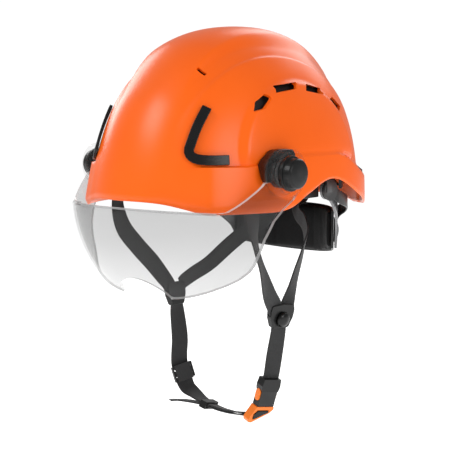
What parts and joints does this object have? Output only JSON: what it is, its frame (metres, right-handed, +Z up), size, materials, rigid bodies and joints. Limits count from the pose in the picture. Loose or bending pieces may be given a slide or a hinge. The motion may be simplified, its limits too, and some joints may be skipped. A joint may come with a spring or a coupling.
{
  "type": "arborist helmet",
  "caption": "Vented climbing-style safety helmet with a flip-up clear visor on side hinges, a ratchet nape cradle and a four-point chin strap with a side-release buckle.",
  "frame": {"origin": "middle of the head opening, at brow level", "axes": "+Z up, the front is -Y, the wearer's left is +X"},
  "size_m": [0.2646, 0.2982, 0.3817],
  "materials": {
    "shell_plastic": "satin moulded plastic, signal orange",
    "liner_foam": "moulded energy-absorbing foam, fine bead texture",
    "vent_mesh": "fine moulded grid",
    "clip_plastic": "fine-grained moulded nylon",
    "visor_lens": "clear polycarbonate with a faint grey tint",
    "bracket_plastic": "satin moulded nylon",
    "steel": "turned stainless steel",
    "rubber_washer": "moulded rubber",
    "knob_plastic": "fine-grained moulded nylon with rounded edges",
    "cradle_strap": "woven polyester tape",
    "suspension_plastic": "satin moulded polyethylene",
    "sweat_foam": "knitted cover over foam",
    "smoke_plastic": "smoke-grey moulded plastic",
    "cradle_plastic": "satin moulded polyethylene",
    "gear_plastic": "natural acetal",
    "webbing": "woven polyester webbing with a ribbed edge",
    "buckle_black": "satin moulded acetal",
    "buckle_orange": "satin moulded acetal, signal orange"
  },
  "bodies": {
    "helmet": {"shell": "shell_plastic", "liner": "liner_foam", "vent_mesh_left": "vent_mesh", "vent_mesh_right": "vent_mesh", "lamp_clip_front_left": "clip_plastic", "lamp_clip_front_right": "clip_plastic", "lamp_clip_rear_left": "clip_plastic", "lamp_clip_rear_right": "clip_plastic", "visor_bracket_left": "bracket_plastic", "visor_bracket_right": "bracket_plastic", "pivot_bolt_left": "steel", "pivot_bolt_right": "steel", "friction_washer_left": "rubber_washer", "friction_washer_right": "rubber_washer", "crown_strap_a": "cradle_strap", "crown_strap_b": "cradle_strap", "crown_anchors": "suspension_plastic", "headband": "suspension_plastic", "hanger_plug_left": "suspension_plastic", "hanger_plug_right": "suspension_plastic", "strap_anchors": "suspension_plastic", "sweatband": "sweat_foam", "front_strap_left": "webbing", "front_strap_right": "webbing", "rear_strap_left": "webbing", "rear_strap_right": "webbing", "lower_strap_left": "webbing", "lower_strap_right": "webbing", "chin_strap": "webbing", "strap_tail": "webbing", "divider_left": "buckle_black", "divider_right": "buckle_black", "ladder_lock": "buckle_black", "keeper": "buckle_black", "buckle_socket": "buckle_black"},
    "visor": {"visor_lens": "visor_lens"},
    "knob_left": {"visor_knob_left": "knob_plastic"},
    "knob_right": {"visor_knob_right": "knob_plastic"},
    "cradle": {"hanger_arm_left": "smoke_plastic", "hanger_arm_right": "smoke_plastic", "cradle_link_left": "cradle_plastic", "cradle_link_right": "cradle_plastic", "nape_band": "cradle_plastic", "nape_pad": "sweat_foam", "ratchet_housing": "cradle_plastic", "ratchet_cover": "cradle_plastic", "ratchet_axle": "steel"},
    "wheel": {"ratchet_wheel": "knob_plastic", "ratchet_pinion": "gear_plastic"},
    "rack_left": {"rack_left": "cradle_plastic"},
    "rack_right": {"rack_right": "cradle_plastic"},
    "plug": {"buckle_plug": "buckle_orange", "plug_grip": "buckle_black"},
    "release_button_front": {"release_button_front": "buckle_orange"},
    "release_button_rear": {"release_button_rear": "buckle_orange"},
    "divider_button_left": {"divider_button_left": "buckle_black"},
    "divider_button_right": {"divider_button_right": "buckle_black"}
  },
  "joints": [
    {"name": "visor_lift", "type": "hinge", "parent": "helmet", "child": "visor", "pos_m": [0, -0.072, 0.029], "axis": [-1, 0, 0], "range_deg": [0, 78]},
    {"name": "knob_left_turn", "type": "hinge", "parent": "helmet", "child": "knob_left", "pos_m": [0.12, -0.072, 0.029], "axis": [1, 0, 0], "range_deg": [0, 90]},
    {"name": "knob_right_turn", "type": "hinge", "parent": "helmet", "child": "knob_right", "pos_m": [-0.12, -0.072, 0.029], "axis": [-1, 0, 0], "range_deg": [0, 90]},
    {"name": "cradle_tilt", "type": "hinge", "parent": "helmet", "child": "cradle", "pos_m": [0, 0.02, 0.008], "axis": [1, 0, 0], "range_deg": [-8, 0]},
    {"name": "adjuster", "type": "hinge", "parent": "cradle", "child": "wheel", "pos_m": [0, 0.106, -0.042], "axis": [0, 1, 0], "range_deg": [-60, 60]},
    {"name": "rack_left_slide", "type": "slide", "parent": "cradle", "child": "rack_left", "axis": [-1, 0, 0], "range_m": [-0.0079, 0.0079]},
    {"name": "rack_right_slide", "type": "slide", "parent": "cradle", "child": "rack_right", "axis": [1, 0, 0], "range_m": [-0.0079, 0.0079]},
    {"name": "buckle_release", "type": "slide", "parent": "helmet", "child": "plug", "axis": [-0.25, -0.09, -0.9641], "range_m": [0, 0.024], "deforming": ["chin_strap", "strap_tail"]},
    {"name": "release_front_press", "type": "slide", "parent": "helmet", "child": "release_button_front", "axis": [0.24, 0.9588, -0.152], "range_m": [0, 0.0013], "stiffness_N_per_m": 400},
    {"name": "release_rear_press", "type": "slide", "parent": "helmet", "child": "release_button_rear", "axis": [-0.24, -0.9588, 0.152], "range_m": [0, 0.0013], "stiffness_N_per_m": 400},
    {"name": "divider_left_press", "type": "slide", "parent": "helmet", "child": "divider_button_left", "axis": [-0.9747, 0.161, 0.155], "range_m": [0, 0.0015], "stiffness_N_per_m": 400},
    {"name": "divider_right_press", "type": "slide", "parent": "helmet", "child": "divider_button_right", "axis": [0.9747, 0.161, 0.155], "range_m": [0, 0.0015], "stiffness_N_per_m": 400}
  ],
  "couplings": [
    {"joint": "rack_left_slide", "follows": "adjuster", "m_per_rad": 0.0075},
    {"joint": "rack_right_slide", "follows": "adjuster", "m_per_rad": 0.0075}
  ]
}
